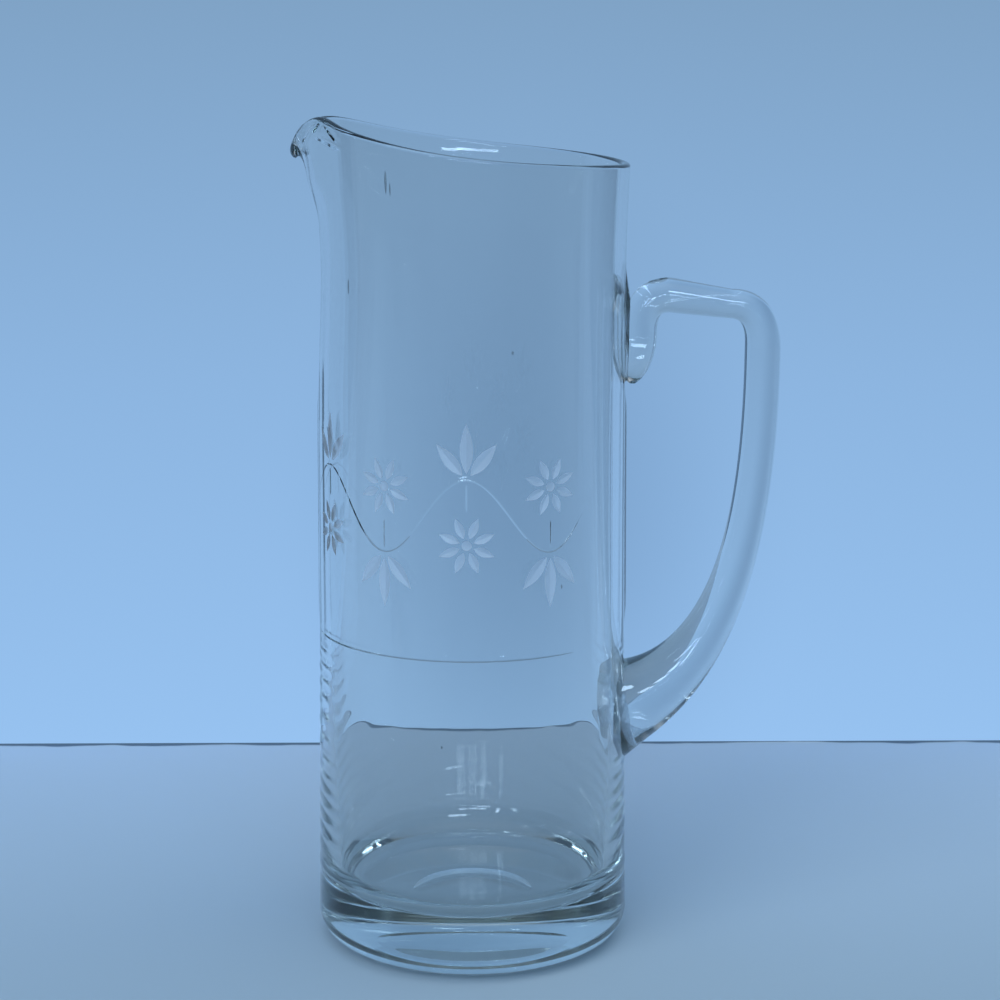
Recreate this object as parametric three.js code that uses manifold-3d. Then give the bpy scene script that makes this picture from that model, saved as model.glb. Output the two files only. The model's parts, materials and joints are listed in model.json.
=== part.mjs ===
// A hand-made glass pitcher: a blown body with a heavy base, a slanted rim and a pulled pouring lip,
// and a drawn glass handle that is welded to the wall at its foot and along a folded tail.
// Millimetres, +Z up. The origin is the middle of the flat underside. The lip points to -X, the handle to +X.

import * as THREE from 'three';
import Module from 'manifold-3d';

// Body
const BASE_DIAMETER = 95; // outside, just above the rounded heel
const WAIST_DIAMETER = 91.8; // the narrowest place of the wall
const WAIST_HEIGHT = 200;
const RIM_DIAMETER = 93.8;
const HEEL_RADIUS = 9;
const BASE_THICKNESS = 17; // solid glass under the floor
const FLOOR_CORNER = 7.5; // radius between floor and wall
const FLOOR_DISH = 1; // how far the middle of the floor lies below its edge
const WALL_AT_BASE = 4;
const WALL_AT_RIM = 3;
const WALL_SWELL = 2.2; // glass added where the wall runs into the base
const SWELL_TOP = 120; // where that begins

// Rim, cut on a slant while the glass was hot
const RIM_HEIGHT = 242; // top of the rim at the two sides, square to the handle
const SLANT_FALL = 4; // how much lower the rim is at the handle
const SLANT_RISE = 10.4; // how much higher it would be at the lip, had that not been pulled down
const SLANT_EASE = 0.25; // share of the slant that gathers towards lip and handle
const SLANT_DEPTH = 90; // the wall below the rim that stretches with the slant

// Lip, pulled out and down between two shoulders
const LIP_REACH = 7; // the tip, out from the round of the rim
const LIP_DROOP = 9.7; // the tip, down from the shoulders
const LIP_SPREAD = 9.8; // half the width of the glass that is pulled out
const LIP_CHANNEL = 7.4; // half the width of the dip between the shoulders
const LIP_DEPTH = 40; // the wall below the rim that bends into the lip
const LIP_CURL = 5; // how late the wall turns outwards
const LIP_SAG = 4; // how late the wall comes down

// Handle
const HANDLE_TOP = 198.2; // middle of the arm where it leaves the tail
const HANDLE_REACH = 41.2; // from the wall to the middle of the grip
const HANDLE_FOOT = 77.4; // middle of the rod where it widens into the foot
const FOOT_REACH = 10.2; // that same place, out from the wall
const FOOT_ANGLE = 24; // degrees, how steeply the foot comes down to the wall
const FOOT_FLARE = 16; // degrees, how fast each side of the foot spreads
const FOOT_BURY = 12; // length that is cut away again where the foot meets the wall
const ARM_FALL = 2.6; // how much lower the arm is at the grip end
const BEND_OVER = 10; // length of arm that goes into the round bend
const BEND_DOWN = 13; // length of grip that goes into the round bend
const GRIP_LENGTH = 51; // how long the grip holds its upright direction
const SWEEP_LENGTH = 22; // how long the rod holds the foot's direction
const TAIL_LENGTH = 26; // folded end, from the arm's middle down along the wall
const TAIL_SEAT = 3.4; // middle of the tail, out from the wall
const TURN_UP = 11; // height of the fold between tail and arm
const TURN_OUT = 8.8; // reach of that fold
const TAIL_TIP = { thick: 3, wide: 4 };
const TURN = { thick: 10.4, wide: 13 };
const BEND = { thick: 8.8, wide: 12.4 };
const GRIP = { thick: 10.8, wide: 13 };
const NECK = { thick: 21.2, wide: 18 };
const TAPER = 0.4; // how early the tail reaches its full size
const SWELL = 4; // how late the rod swells on its way to the foot
const WELD_GAP = 0.3; // clearance between the two gathers where they are welded

// Facets
const SEGMENTS = 72; // around the body
const LIP_CROWDING = 0.6; // how much closer the segments lie at the lip
const WALL_ROWS = 8; // from the heel to the part that bends into the lip
const LIP_ROWS = 8; // from there to the rim
const ROW_CROWDING = 1.6; // how much closer those rows lie at the rim
const ARC_STEPS = 5;
const ROD_SIDES = 16;
const BEND_STEPS = 8; // along each tight stretch of the rod
const SWEEP_STEPS = 22;
const STRAIGHT_STEPS = 4;
const STEP = 1e-3; // for tangents

const RIM_MIDDLE = RIM_HEIGHT - WALL_AT_RIM / 2; // middle of the rim's round edge

const vector = (x, y, z) => new THREE.Vector3(x, y, z);
const smooth = (t) => THREE.MathUtils.smoothstep(t, 0, 1);
const bell = (distance, spread) => Math.exp(-((distance / spread) ** 2));
const range = (count, from, to) =>
  Array.from({ length: count + 1 }, (_, i) => from + ((to - from) * i) / count);

// Joins rings of equally many points, and closes the first and the last ring with a fan to its own middle.
function loft(rings) {
  const sides = rings[0].length;
  const middles = [rings[0], rings.at(-1)].map((ring) =>
    ring.reduce((sum, point) => sum.add(point), vector(0, 0, 0)).divideScalar(sides),
  );
  const points = [...rings.flat(), ...middles];
  const [first, last] = [points.length - 2, points.length - 1];
  const top = (rings.length - 1) * sides;
  const index = [];
  for (let side = 0; side < sides; side += 1) {
    const next = (side + 1) % sides;
    index.push(first, next, side, last, top + side, top + next);
    for (let row = 0; row < top; row += sides) {
      index.push(row + side, row + next, row + sides + next);
      index.push(row + side, row + sides + next, row + sides + side);
    }
  }
  const geometry = new THREE.BufferGeometry().setFromPoints(points);
  geometry.setIndex(index);
  return geometry;
}

// Body form: the wall is a middle surface with a thickness, so that the lip keeps its glass where it bends.
function outerRadius(height) {
  const below = height < WAIST_HEIGHT;
  const end = below ? BASE_DIAMETER : RIM_DIAMETER;
  const share = (height - WAIST_HEIGHT) / ((below ? HEEL_RADIUS : RIM_MIDDLE) - WAIST_HEIGHT);
  return (WAIST_DIAMETER + (end - WAIST_DIAMETER) * share ** 2) / 2;
}

function wallThickness(height) {
  const share = (height - BASE_THICKNESS) / (RIM_MIDDLE - BASE_THICKNESS);
  const swell = Math.max(0, (SWELL_TOP - height) / (SWELL_TOP - BASE_THICKNESS));
  return WALL_AT_BASE + (WALL_AT_RIM - WALL_AT_BASE) * share + WALL_SWELL * swell ** 2;
}

// How much the slanted cut raises the rim at an angle, which is measured from the handle.
function rimRise(angle) {
  const s = Math.cos(angle);
  const tilt = -(SLANT_FALL + SLANT_RISE) / 2;
  const bow = (SLANT_RISE - SLANT_FALL) / 2;
  return tilt * ((1 - SLANT_EASE) * s + SLANT_EASE * s ** 3) + bow * s ** 2;
}

function wallMiddle(angle, height) {
  const stretched = smooth((height - RIM_MIDDLE + SLANT_DEPTH) / SLANT_DEPTH);
  const pulled = Math.max(0, (height - RIM_MIDDLE + LIP_DEPTH) / LIP_DEPTH);
  const aside = (Math.abs(angle - Math.PI) * RIM_DIAMETER) / 2;
  const reach = LIP_REACH * bell(aside, LIP_SPREAD) * pulled ** LIP_CURL;
  const droop = LIP_DROOP * bell(aside, LIP_CHANNEL) * pulled ** LIP_SAG;
  const radius = outerRadius(height) - wallThickness(height) / 2 + reach;
  const z = height + rimRise(angle) * stretched - droop;
  return vector(radius * Math.cos(angle), radius * Math.sin(angle), z);
}

// The wall's upward and outward directions at a place.
function wallFrame(angle, height) {
  const up = wallMiddle(angle, height + STEP).sub(wallMiddle(angle, height - STEP)).normalize();
  const round = wallMiddle(angle + STEP, height).sub(wallMiddle(angle - STEP, height));
  return { up, out: round.cross(up).normalize() };
}

// A point of the wall's section: turn 0 is the outside, a quarter turn the top of the rim, a half the inside.
function wallPoint(angle, height, turn, clearance = 0) {
  const { up, out } = wallFrame(angle, height);
  const half = wallThickness(height) / 2 + clearance;
  return wallMiddle(angle, height)
    .addScaledVector(out, half * Math.cos(turn))
    .addScaledVector(up, half * Math.sin(turn));
}

const angles = range(SEGMENTS, 0, 2 * Math.PI)
  .slice(0, -1)
  .map((angle) => angle + LIP_CROWDING * Math.sin(angle));
const flatRing = (radius, z) => angles.map((a) => vector(radius * Math.cos(a), radius * Math.sin(a), z));
const wallRing = (height, turn, clearance) => angles.map((a) => wallPoint(a, height, turn, clearance));
const arcRings = (radius, z, bow, from, to) =>
  range(ARC_STEPS, from, to).map((t) => flatRing(radius + bow * Math.cos(t), z + bow * Math.sin(t)));

const lipHeight = (share) => RIM_MIDDLE - LIP_DEPTH * (1 - share) ** ROW_CROWDING;
const wallHeights = (from) => [
  ...range(WALL_ROWS, from, RIM_MIDDLE - LIP_DEPTH).slice(1),
  ...range(LIP_ROWS, 0, 1).slice(1).map(lipHeight),
];

// Outside of the body from the middle of the underside to the rim, grown by a clearance.
function outsideRings(clearance) {
  const heelMiddle = BASE_DIAMETER / 2 - HEEL_RADIUS;
  return [
    flatRing(heelMiddle / 2, -clearance),
    ...arcRings(heelMiddle, HEEL_RADIUS, HEEL_RADIUS + clearance, -Math.PI / 2, 0),
    ...wallHeights(HEEL_RADIUS).map((height) => wallRing(height, 0, clearance)),
  ];
}

function bodyGeometry() {
  const cornerTop = BASE_THICKNESS + FLOOR_CORNER;
  const bore = outerRadius(cornerTop) - wallThickness(cornerTop);
  const rim = range(ARC_STEPS, 0, Math.PI).slice(1, -1);
  return loft([
    ...outsideRings(0),
    ...rim.map((turn) => wallRing(RIM_MIDDLE, turn)),
    ...wallHeights(cornerTop)
      .reverse()
      .map((height) => wallRing(height, Math.PI)),
    ...arcRings(bore - FLOOR_CORNER, cornerTop, FLOOR_CORNER, 0, -Math.PI / 2),
    flatRing((bore - FLOOR_CORNER) / 2, BASE_THICKNESS - FLOOR_DISH),
  ]);
}

// Handle form: a rod along a path in the plane of lip and handle, which swells and thins on its way.
function handleStretches() {
  const wall = outerRadius(HANDLE_TOP);
  const grip = wall + HANDLE_REACH;
  const armEnd = HANDLE_TOP - ARM_FALL;
  const slope = THREE.MathUtils.degToRad(FOOT_ANGLE);
  const intoWall = vector(-Math.cos(slope), 0, -Math.sin(slope));
  const footLength = (FOOT_REACH + FOOT_BURY) / Math.cos(slope);
  const spread = 2 * footLength * Math.tan(THREE.MathUtils.degToRad(FOOT_FLARE));
  const foot = { thick: NECK.thick + spread, wide: NECK.wide + spread };

  const tip = vector(wall + TAIL_SEAT / 2, 0, HANDLE_TOP - TAIL_LENGTH);
  const fold = vector(wall + TAIL_SEAT, 0, HANDLE_TOP - TURN_UP);
  const tailSide = vector(fold.x, 0, (tip.z + fold.z) / 2);
  const armStart = vector(fold.x + TURN_OUT, 0, HANDLE_TOP);
  const bendStart = vector(grip - BEND_OVER, 0, armEnd);
  const bendEnd = vector(grip, 0, armEnd - BEND_DOWN);
  const gripEnd = vector(grip, 0, bendEnd.z - GRIP_LENGTH);
  const neck = vector(outerRadius(HANDLE_FOOT) + FOOT_REACH, 0, HANDLE_FOOT);
  const sweepEnd = neck.clone().addScaledVector(intoWall, -SWEEP_LENGTH);
  const insideWall = neck.clone().addScaledVector(intoWall, footLength);

  const tail = new THREE.QuadraticBezierCurve3(tip, tailSide, fold);
  const turn = new THREE.QuadraticBezierCurve3(fold, vector(fold.x, 0, HANDLE_TOP), armStart);
  const arm = new THREE.LineCurve3(armStart, bendStart);
  const bend = new THREE.QuadraticBezierCurve3(bendStart, vector(grip, 0, armEnd), bendEnd);
  const sweep = new THREE.CubicBezierCurve3(bendEnd, gripEnd, sweepEnd, neck);
  const footLine = new THREE.LineCurve3(neck, insideWall);
  return [
    { curve: tail, steps: BEND_STEPS, from: TAIL_TIP, to: TURN, pace: TAPER },
    { curve: turn, steps: BEND_STEPS, from: TURN, to: TURN, pace: 1 },
    { curve: arm, steps: STRAIGHT_STEPS, from: TURN, to: BEND, pace: 1 },
    { curve: bend, steps: BEND_STEPS, from: BEND, to: GRIP, pace: 1 },
    { curve: sweep, steps: SWEEP_STEPS, from: GRIP, to: NECK, pace: SWELL },
    { curve: footLine, steps: STRAIGHT_STEPS, from: NECK, to: foot, pace: 1 },
  ];
}

// One oval section of the rod, square to its path.
function rodRing({ curve, from, to, pace }, t) {
  const middle = curve.getPointAt(t);
  const along = curve.getTangentAt(t);
  const share = t ** pace;
  const halfThick = THREE.MathUtils.lerp(from.thick, to.thick, share) / 2;
  const halfWide = THREE.MathUtils.lerp(from.wide, to.wide, share) / 2;
  const across = vector(along.z, 0, -along.x).multiplyScalar(halfThick);
  const aside = vector(0, halfWide, 0);
  return range(ROD_SIDES, 0, 2 * Math.PI)
    .slice(0, -1)
    .map((a) => middle.clone().addScaledVector(across, Math.cos(a)).addScaledVector(aside, Math.sin(a)));
}

function handleGeometry() {
  const rings = handleStretches().flatMap((stretch, i) =>
    range(stretch.steps, 0, 1)
      .slice(i ? 1 : 0)
      .map((t) => rodRing(stretch, t)),
  );
  return loft(rings);
}

// Cutting one solid by another.
const wasm = await Module();
wasm.setup();

function solid(geometry) {
  const vertProperties = new Float32Array(geometry.getAttribute('position').array);
  const triVerts = new Uint32Array(geometry.getIndex().array);
  return new wasm.Manifold(new wasm.Mesh({ numProp: 3, vertProperties, triVerts }));
}

function cut(geometry, tool) {
  const { vertProperties, triVerts } = solid(geometry).subtract(solid(tool)).getMesh();
  const result = new THREE.BufferGeometry();
  result.setAttribute('position', new THREE.BufferAttribute(vertProperties, 3));
  result.setIndex(new THREE.BufferAttribute(triVerts, 1));
  return result;
}

function glass(name, geometry) {
  const material = new THREE.MeshStandardMaterial({
    color: 0xe4eef2,
    roughness: 0.03,
    metalness: 0,
    transparent: true,
    opacity: 0.3,
  });
  const mesh = new THREE.Mesh(geometry, material);
  mesh.name = name;
  return mesh;
}

const pitcher = new THREE.Group();
pitcher.add(glass('pitcher_body', bodyGeometry()));
pitcher.add(glass('handle', cut(handleGeometry(), loft(outsideRings(WELD_GAP)))));

export default pitcher;
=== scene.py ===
# %% [markdown]
# # A hand-made glass pitcher
# This lesson dresses a CAD model of a glass pitcher. The CAD part fixes where everything is. Blender makes
# the fine surface, the wheel-cut ornament and the finish of the glass.

# %% Load the frame
import json
import math

import bpy
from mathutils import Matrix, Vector

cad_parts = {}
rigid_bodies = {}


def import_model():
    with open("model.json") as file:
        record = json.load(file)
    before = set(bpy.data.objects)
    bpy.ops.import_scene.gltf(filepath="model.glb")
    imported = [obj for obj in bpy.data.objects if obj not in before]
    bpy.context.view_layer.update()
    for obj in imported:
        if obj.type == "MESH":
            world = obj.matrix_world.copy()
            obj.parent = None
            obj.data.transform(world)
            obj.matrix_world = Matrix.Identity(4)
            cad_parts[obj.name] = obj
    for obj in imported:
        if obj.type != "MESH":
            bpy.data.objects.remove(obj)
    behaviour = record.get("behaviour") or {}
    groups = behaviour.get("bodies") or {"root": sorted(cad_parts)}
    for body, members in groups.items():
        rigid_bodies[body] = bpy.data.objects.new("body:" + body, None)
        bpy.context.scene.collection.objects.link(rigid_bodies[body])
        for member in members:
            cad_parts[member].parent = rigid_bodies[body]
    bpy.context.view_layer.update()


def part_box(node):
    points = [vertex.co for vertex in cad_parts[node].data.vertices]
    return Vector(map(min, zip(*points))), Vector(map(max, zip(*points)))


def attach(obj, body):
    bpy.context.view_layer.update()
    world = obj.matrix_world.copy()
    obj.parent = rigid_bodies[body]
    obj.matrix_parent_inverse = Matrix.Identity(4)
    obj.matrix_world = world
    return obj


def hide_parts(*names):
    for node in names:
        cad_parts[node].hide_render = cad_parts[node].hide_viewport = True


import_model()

# %% [markdown]
# ## Small helpers
# Blender's operators act on whatever is selected and active, so every step starts from an empty selection.
# A size on glassware is easiest to read in millimetres, and Blender works in metres, so `MM` turns one
# into the other.

# %% Helpers
MM = 0.001


def select_only(*pieces):
    """Selects these objects, and makes the first one active."""
    bpy.ops.object.select_all(action="DESELECT")
    for piece in pieces:
        piece.select_set(True)
    bpy.context.view_layer.objects.active = pieces[0]


def mix(low, high, share):
    return low + (high - low) * share


def steps(low, high, count):
    """Evenly spaced values from low to high, both ends included."""
    return [mix(low, high, i / count) for i in range(count + 1)]


def ease(share):
    """A soft start and a soft end between 0 and 1."""
    share = min(max(share, 0), 1)
    return share * share * (3 - 2 * share)


def apply_modifier(piece, kind, **settings):
    """Adds a modifier with these settings, and applies it at once."""
    select_only(piece)
    modifier = piece.modifiers.new(kind.lower(), kind)
    for name, value in settings.items():
        setattr(modifier, name, value)
    bpy.ops.object.modifier_apply(modifier=modifier.name)


# %% [markdown]
# ## Camera
# The camera stands where the photographer stood: about three quarters of a metre away, a little above the
# rim and looking down by eleven degrees. A lens of about 90 mm gives the same slight convergence.

# %% Camera
CAMERA_PLACE = (0, -748.7 * MM, 287.3 * MM)
CAMERA_DOWN = math.radians(11.42)
CAMERA_TURN = math.radians(-0.653)
CAMERA_LENS = 91.0
CAMERA_SENSOR = 36

bpy.ops.object.camera_add(location=CAMERA_PLACE, rotation=(math.pi / 2 - CAMERA_DOWN, 0, CAMERA_TURN))
camera = bpy.context.object
camera.data.lens = CAMERA_LENS
camera.data.sensor_width = CAMERA_SENSOR
bpy.context.scene.camera = camera
print("Camera at", [round(v, 3) for v in camera.location])

# %% [markdown]
# ## The body, spun straight
# A blower makes the body as a straight tube with a thick base. A lathe does the same in Blender: half of
# the section is drawn as a line of vertices in the XZ plane, and Spin turns it round the Z axis. A cylinder
# could be hollowed out instead, but its heel, floor and rim would each need a bevel. The section runs from
# the middle of the underside round the heel, up the outside, over the rim, down the inside and to the
# middle of the floor, so the spun mesh is closed by itself.

# %% Sizes of the body
_, body_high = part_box("pitcher_body")
BASE_RADIUS = body_high[1]
WAIST_RADIUS = 45.9 * MM
WAIST_HEIGHT = 200 * MM
RIM_RADIUS = 46.9 * MM
HEEL_RADIUS = 9 * MM
BASE_THICKNESS = 17 * MM
WALL_AT_BASE = 4 * MM
WALL_AT_RIM = 3 * MM
WALL_SWELL = 2.2 * MM
SWELL_TOP = 120 * MM
RIM_HEIGHT = 242 * MM
RIM_MIDDLE = RIM_HEIGHT - WALL_AT_RIM / 2


def outer_radius(height):
    """The wall is waisted: widest at the heel, narrowest below the rim."""
    end, end_height = RIM_RADIUS, RIM_MIDDLE
    if height < WAIST_HEIGHT:
        end, end_height = BASE_RADIUS, HEEL_RADIUS
    share = (height - WAIST_HEIGHT) / (end_height - WAIST_HEIGHT)
    return mix(WAIST_RADIUS, end, share**2)


def wall_thickness(height):
    """The wall thins towards the rim, and swells where it runs into the heavy base."""
    even = mix(WALL_AT_BASE, WALL_AT_RIM, (height - BASE_THICKNESS) / (RIM_MIDDLE - BASE_THICKNESS))
    swell = max(0, (SWELL_TOP - height) / (SWELL_TOP - BASE_THICKNESS))
    return even + WALL_SWELL * swell**2


def middle_radius(height):
    return outer_radius(height) - wall_thickness(height) / 2


print("Wall at the waist, mm:", round(wall_thickness(WAIST_HEIGHT) / MM, 2))

# %% Rows of the section
# The hollow of the underside is where the rod that held the pitcher was ground off. The rows of the wall
# stand closest where it gets ripples later, and below the rim, where it bends out to the lip.
FLOOR_CORNER = 10.5 * MM
CORNER_TURN = math.radians(72)
FLOOR_DISH = 1 * MM
PUNTY_RADIUS = 19 * MM
PUNTY_DEPTH = 1.4 * MM
PUNTY_STEEPNESS = 4
RIM_FLATNESS = 0.7
RIPPLE_LOW = 16 * MM
RIPPLE_TOP = 94 * MM
LIP_DEPTH = 40 * MM
LIP_ROW_PACE = 1.6
ARC_STEPS = 18
WALL_ROWS = 24
RIPPLE_ROWS = 110
LIP_ROWS = 36
DISH_ROWS = 6
PUNTY_ROWS = 10


def arc(radius, height, bow, start, end, count):
    """Points of a round corner in the section, as (radius, height)."""
    return [(radius + bow * math.cos(a), height + bow * math.sin(a)) for a in steps(start, end, count)]


def wall_heights(start):
    """Heights of the rows of the wall, above a start and up to the rim."""
    lower = steps(start, RIM_MIDDLE - LIP_DEPTH, WALL_ROWS)[1:]
    upper = [RIM_MIDDLE - LIP_DEPTH * (1 - share) ** LIP_ROW_PACE for share in steps(0, 1, LIP_ROWS)[1:]]
    return lower + upper


# %% Points of the section
def body_section():
    """All points as (radius, height), from the middle of the underside to the middle of the floor."""
    quarter = math.pi / 2
    half = WALL_AT_RIM / 2
    heel_middle = BASE_RADIUS - HEEL_RADIUS
    corner_top = BASE_THICKNESS + FLOOR_CORNER
    bore = outer_radius(corner_top) - wall_thickness(corner_top)
    corner = arc(bore - FLOOR_CORNER, corner_top, FLOOR_CORNER, 0, -CORNER_TURN, ARC_STEPS)
    floor, edge = corner[-1]
    rippled = steps(RIPPLE_LOW, RIPPLE_TOP, RIPPLE_ROWS) + wall_heights(RIPPLE_TOP)
    outside = [(outer_radius(h), h) for h in rippled]
    bead = arc(middle_radius(RIM_MIDDLE), RIM_MIDDLE, half, 0, math.pi, ARC_STEPS)[1:-1]
    bead = [(r, mix(RIM_MIDDLE, h, RIM_FLATNESS)) for r, h in bead]
    inside = [(outer_radius(h) - wall_thickness(h), h) for h in reversed(wall_heights(corner_top))]
    hollow = [1 - s**PUNTY_STEEPNESS for s in steps(0, 1, PUNTY_ROWS)]
    punty = [(PUNTY_RADIUS * s, PUNTY_DEPTH * h) for s, h in zip(steps(0, 1, PUNTY_ROWS), hollow)]
    dish = [(floor * s, edge - FLOOR_DISH * (1 - s * s)) for s in steps(1, 0, DISH_ROWS)[1:]]
    return [
        *punty,
        *arc(heel_middle, HEEL_RADIUS, HEEL_RADIUS, -quarter, 0, ARC_STEPS),
        *outside,
        *bead,
        *inside,
        *corner,
        *dish,
    ]


section = body_section()
print("Points of the section:", len(section))

# %% Spin the section
SEGMENTS = 240
MERGE_DISTANCE = 0.001 * MM


def draw_section(points):
    """Merges a small plane to one vertex, and extrudes that vertex from point to point."""
    bpy.ops.object.select_all(action="DESELECT")
    bpy.ops.mesh.primitive_plane_add(size=MM, location=(points[0][0], 0, points[0][1]))
    bpy.ops.object.transform_apply(location=True, rotation=False, scale=False)
    bpy.ops.object.mode_set(mode="EDIT")
    bpy.ops.mesh.merge(type="CENTER")
    for (r0, z0), (r1, z1) in zip(points, points[1:]):
        bpy.ops.mesh.extrude_vertices_move(TRANSFORM_OT_translate={"value": (r1 - r0, 0, z1 - z0)})
    bpy.ops.mesh.select_all(action="SELECT")
    bpy.ops.object.mode_set(mode="OBJECT")
    return bpy.context.object


def spin_section(piece, segments):
    """Turns the section once round the Z axis and closes the seam and the two poles."""
    select_only(piece)
    bpy.ops.object.mode_set(mode="EDIT")
    bpy.ops.mesh.select_all(action="SELECT")
    bpy.ops.mesh.spin(steps=segments, angle=2 * math.pi, center=(0, 0, 0), axis=(0, 0, 1))
    bpy.ops.mesh.select_all(action="SELECT")
    bpy.ops.mesh.remove_doubles(threshold=MERGE_DISTANCE)
    bpy.ops.mesh.normals_make_consistent(inside=False)
    bpy.ops.object.mode_set(mode="OBJECT")


body = draw_section(section)
body.name = body.data.name = "pitcher_body_glass"
spin_section(body, SEGMENTS)
print("Faces of the spun body:", len(body.data.polygons))

# %% [markdown]
# ## The rim and the lip, tooled hot
# The rim is cut on a slant with shears while the glass is soft, and the lip is pulled out and down between
# two shoulders with one stroke of a tool. Proportional editing could pull a lip, but its falloff is round,
# and this one is narrow and deep. So each vertex is moved by a short formula instead: it keeps its
# distance from the middle of the wall, and the middle of the wall is what bends. That keeps the glass
# equally thick.

# %% Sizes of the rim and the lip
# The lip reaches out by its curl and sinks by its droop, a flare leads up to it, and the throat is the
# slight hollow that the thumb leaves below. One shoulder, on the near side, stands a little higher.
SLANT_FALL = 4 * MM
SLANT_RISE = 10.4 * MM
SLANT_EASE = 0.25
SLANT_DEPTH = 90 * MM
LIP_REACH = 6 * MM
LIP_DROOP = 9.7 * MM
LIP_SPREAD = 9.8 * MM
LIP_CHANNEL = 5.8 * MM
LIP_ROUND = 1.5 * MM
LIP_CURL = 5
LIP_SAG = 4
THROAT_DEPTH = 1.4 * MM
THROAT_HEIGHT = 200 * MM
THROAT_TALL = 22 * MM
THROAT_WIDE = 30 * MM
FLARE_REACH = 2 * MM
FLARE_LOW = 212 * MM
FLARE_HIGH = 225 * MM
FLARE_WIDE = 15 * MM
SHOULDER_LIFT = 1.3 * MM
SHOULDER_ASIDE = 17 * MM
SHOULDER_WIDE = 9 * MM


# %% The bent wall
def bell(distance, spread):
    """1 in the middle, and fading to nothing on both sides."""
    return math.exp(-((distance / spread) ** 2))


def rim_rise(angle):
    """How much the slanted cut raises the rim at an angle, counted from the handle."""
    s = math.cos(angle)
    tilt = -(SLANT_FALL + SLANT_RISE) / 2
    bow = (SLANT_RISE - SLANT_FALL) / 2
    return tilt * mix(s, s**3, SLANT_EASE) + bow * s**2


def wall_middle(angle, height):
    """The middle of the wall after the tooling."""
    stretched = ease((height - RIM_MIDDLE + SLANT_DEPTH) / SLANT_DEPTH)
    pulled = max(0, (height - RIM_MIDDLE + LIP_DEPTH) / LIP_DEPTH)
    aside = abs(angle - math.pi) * RIM_RADIUS
    throat = THROAT_DEPTH * bell(height - THROAT_HEIGHT, THROAT_TALL) * bell(aside, THROAT_WIDE)
    flare = FLARE_REACH * ease((height - FLARE_LOW) / (FLARE_HIGH - FLARE_LOW)) * bell(aside, FLARE_WIDE)
    curl = (LIP_REACH - FLARE_REACH) * bell(aside, LIP_SPREAD) * pulled**LIP_CURL
    channel = math.exp((LIP_ROUND - math.hypot(aside, LIP_ROUND)) / LIP_CHANNEL)
    droop = LIP_DROOP * channel * pulled**LIP_SAG
    radius = middle_radius(height) - throat + flare + curl
    shoulder = SHOULDER_LIFT * bell((angle - math.pi) * RIM_RADIUS - SHOULDER_ASIDE, SHOULDER_WIDE)
    z = height + (rim_rise(angle) + shoulder) * stretched - droop
    return Vector((radius * math.cos(angle), radius * math.sin(angle), z))


print("Tip of the lip, mm:", [round(v / MM, 1) for v in wall_middle(math.pi, RIM_MIDDLE)])

# %% [markdown]
# ## Marks of the mould and of the blowing
# Hot glass chills in faint level ripples where it touches a cooler mould, and a low ridge stays where the
# halves of the mould met. Inside, the blowing leaves upright waves. They break the light at both sides of
# the pitcher into short dashes and long dark lines. A bump in the material could do that for one view, but
# here the marks are true shape, so they are small moves of the vertices, done together with the tooling.

# %% Ripples
RIPPLE_PITCH = 5.6 * MM
RIPPLE_DEPTH = 0.12 * MM
RIPPLE_SPREAD = math.radians(22)
RIPPLE_DRIFT = 1.4 * MM
DRIFT_LENGTH = 7 * MM


def ripple(angle, height):
    """Chill ripples of the outside, at the lip's and the handle's side."""
    fade = ease((height - RIPPLE_LOW) / RIPPLE_PITCH) * ease((RIPPLE_TOP - height) / RIPPLE_PITCH)
    aside = math.asin(abs(math.sin(angle)))
    drifted = height + RIPPLE_DRIFT * math.sin(height / DRIFT_LENGTH)
    wave = math.sin(2 * math.pi * drifted / RIPPLE_PITCH)
    return RIPPLE_DEPTH * fade * bell(aside, RIPPLE_SPREAD) * wave


print("Ripples:", round((RIPPLE_TOP - RIPPLE_LOW) / RIPPLE_PITCH), "at each side")

# %% Seams and waves
SEAM_HEIGHT = 0.6 * MM
SEAM_WIDE = 1.7 * MM
SEAM_LOW = 96 * MM
SEAM_HIGH = 172 * MM
SEAM_FADE = 8 * MM
LIP_SEAM_SHARE = 0.5
STRIA_DEPTH = 0.02 * MM
STRIA_LOW = 40 * MM
STRIA_COUNTS = (17, 29)
STRIA_SHARE = 0.8
STRIA_LEAN = 0.5
LEAN_LENGTH = 31 * MM


def seam(angle, height):
    """The upright ridges where the halves of the mould met, weaker at the lip's side."""
    fade = ease((height - SEAM_LOW) / SEAM_FADE) * ease((SEAM_HIGH - height) / SEAM_FADE)
    aside = math.asin(abs(math.sin(angle))) * WAIST_RADIUS
    share = 1 if math.cos(angle) > 0 else LIP_SEAM_SHARE
    return SEAM_HEIGHT * share * fade * bell(aside, SEAM_WIDE)


def stria(angle, height):
    """Faint upright waves of the inside: two counts of waves round the wall, which beat with each other."""
    lean = STRIA_LEAN * math.sin(height / LEAN_LENGTH)
    few, many = STRIA_COUNTS
    wave = math.sin(few * angle + lean) + STRIA_SHARE * math.sin(many * angle - 2 * lean + 1)
    return STRIA_DEPTH * wave * ease((height - STRIA_LOW) / STRIA_LOW)


print("Seams from", round(SEAM_LOW / MM), "to", round(SEAM_HIGH / MM), "mm")

# %% Tool the body
# The vertices crowd at the lip and at both sides, where the shape is finest. The tip of the lip swells to
# the drop that the soft glass draws up to.
LIP_CROWDING = 0.2
SIDE_CROWDING = 0.25
TIP_SWELL = 0.7
TIP_TALL = 5 * MM
TIP_WIDE = 3 * MM
NUDGE = 0.001
SHARP_EDGE = math.radians(14)


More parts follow.
